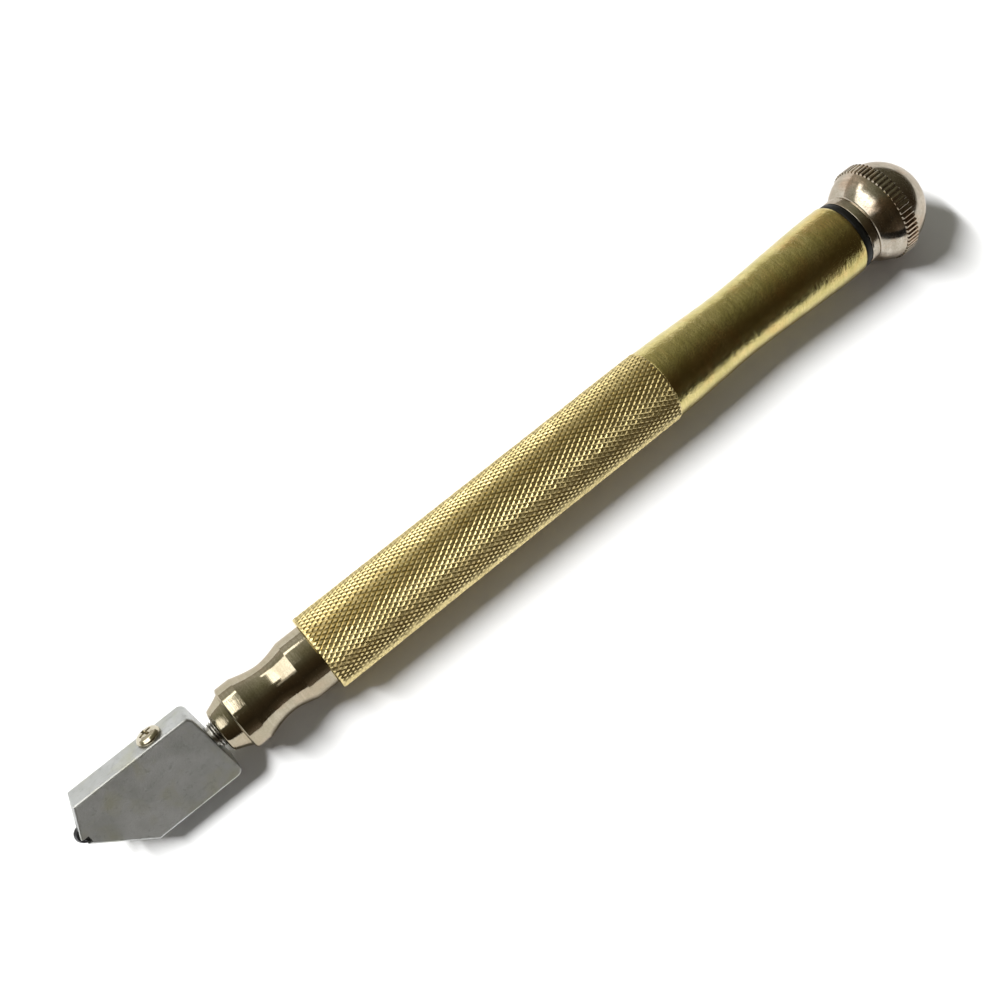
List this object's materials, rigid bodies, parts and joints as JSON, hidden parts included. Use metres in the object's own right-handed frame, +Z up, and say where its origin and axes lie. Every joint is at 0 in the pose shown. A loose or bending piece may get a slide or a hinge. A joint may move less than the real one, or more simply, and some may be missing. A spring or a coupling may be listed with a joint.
{
  "type": "glass cutter",
  "caption": "Oil-fed glass cutter: a slim knurled brass barrel with a swivelling wheel head, a pressure valve in its nose and a ball-shaped screw cap.",
  "frame": {"origin": "bottom centre of the bounding box: the plane that the ball cap touches, halfway along the tool", "axes": "+X along the tool from the cutting wheel towards the ball cap, +Z up as the tool lies on its side, +Y horizontal, towards the side that the head's lock screw leans to; the head lies rolled 45 degrees about X, so its wheel's axis is halfway between -Y and +Z"},
  "size_m": [0.1692, 0.0172, 0.0172],
  "materials": {
    "head_metal": "satin plated steel, lightly ground",
    "carbide": "dark ground tungsten carbide",
    "steel": "turned steel",
    "spring_steel": "drawn wire",
    "screw_metal": "nickel plated, domed head",
    "nickel": "warm bright nickel plate over turned brass",
    "barrel_brass": "pale satin brass, rolled diamond knurl on the grip and fine turning lines behind it",
    "valve_brass": "turned brass",
    "rubber": "matt black nitrile",
    "wick": "cotton"
  },
  "bodies": {
    "handle": {"barrel": "barrel_brass", "nose_piece": "nickel", "nose_seal": "rubber", "stem_seal": "rubber", "valve_seat": "valve_brass", "seat_gasket": "rubber"},
    "stem": {"valve_stem": "steel", "stem_wick": "wick", "spring_washer": "steel", "return_spring": "spring_steel", "valve_disc": "rubber", "disc_washer": "steel", "valve_nut": "valve_brass"},
    "head": {"head_body": "head_metal", "wheel_axle": "steel", "oil_wick": "wick"},
    "wheel": {"cutting_wheel": "carbide"},
    "lock": {"lock_screw": "screw_metal"},
    "cap_seal": {"cap_o_ring": "rubber"},
    "cap": {"cap_ball": "nickel"}
  },
  "joints": [
    {"name": "head_press", "type": "slide", "parent": "handle", "child": "stem", "axis": [1, 0, 0], "range_m": [0, 0.0009], "stiffness_N_per_m": 1400, "springref_m": -0.0015, "deforming": ["return_spring"]},
    {"name": "head_swivel", "type": "hinge", "parent": "stem", "child": "head", "pos_m": [-0.0673, 0, 0.0086], "axis": [1, 0, 0], "range_deg": [-180, 180]},
    {"name": "wheel_spin", "type": "hinge", "parent": "head", "child": "wheel", "pos_m": [-0.08285, 0.00053, 0.00913], "axis": [0, -0.7071, 0.7071], "continuous": true},
    {"name": "lock_screw_turn", "type": "hinge", "parent": "head", "child": "lock", "pos_m": [-0.0673, 0.0046, 0.0132], "axis": [0, 0.7071, 0.7071], "range_deg": [0, 180]},
    {"name": "cap_travel", "type": "slide", "parent": "handle", "child": "cap_seal", "axis": [1, 0, 0], "range_m": [0, 0.005]},
    {"name": "cap_turn", "type": "hinge", "parent": "cap_seal", "child": "cap", "pos_m": [0.0663, 0, 0.0086], "axis": [1, 0, 0], "range_deg": [0, 1804]}
  ],
  "couplings": [
    {"joint": "cap_turn", "follows": "cap_travel", "rad_per_m": 6283.2}
  ]
}
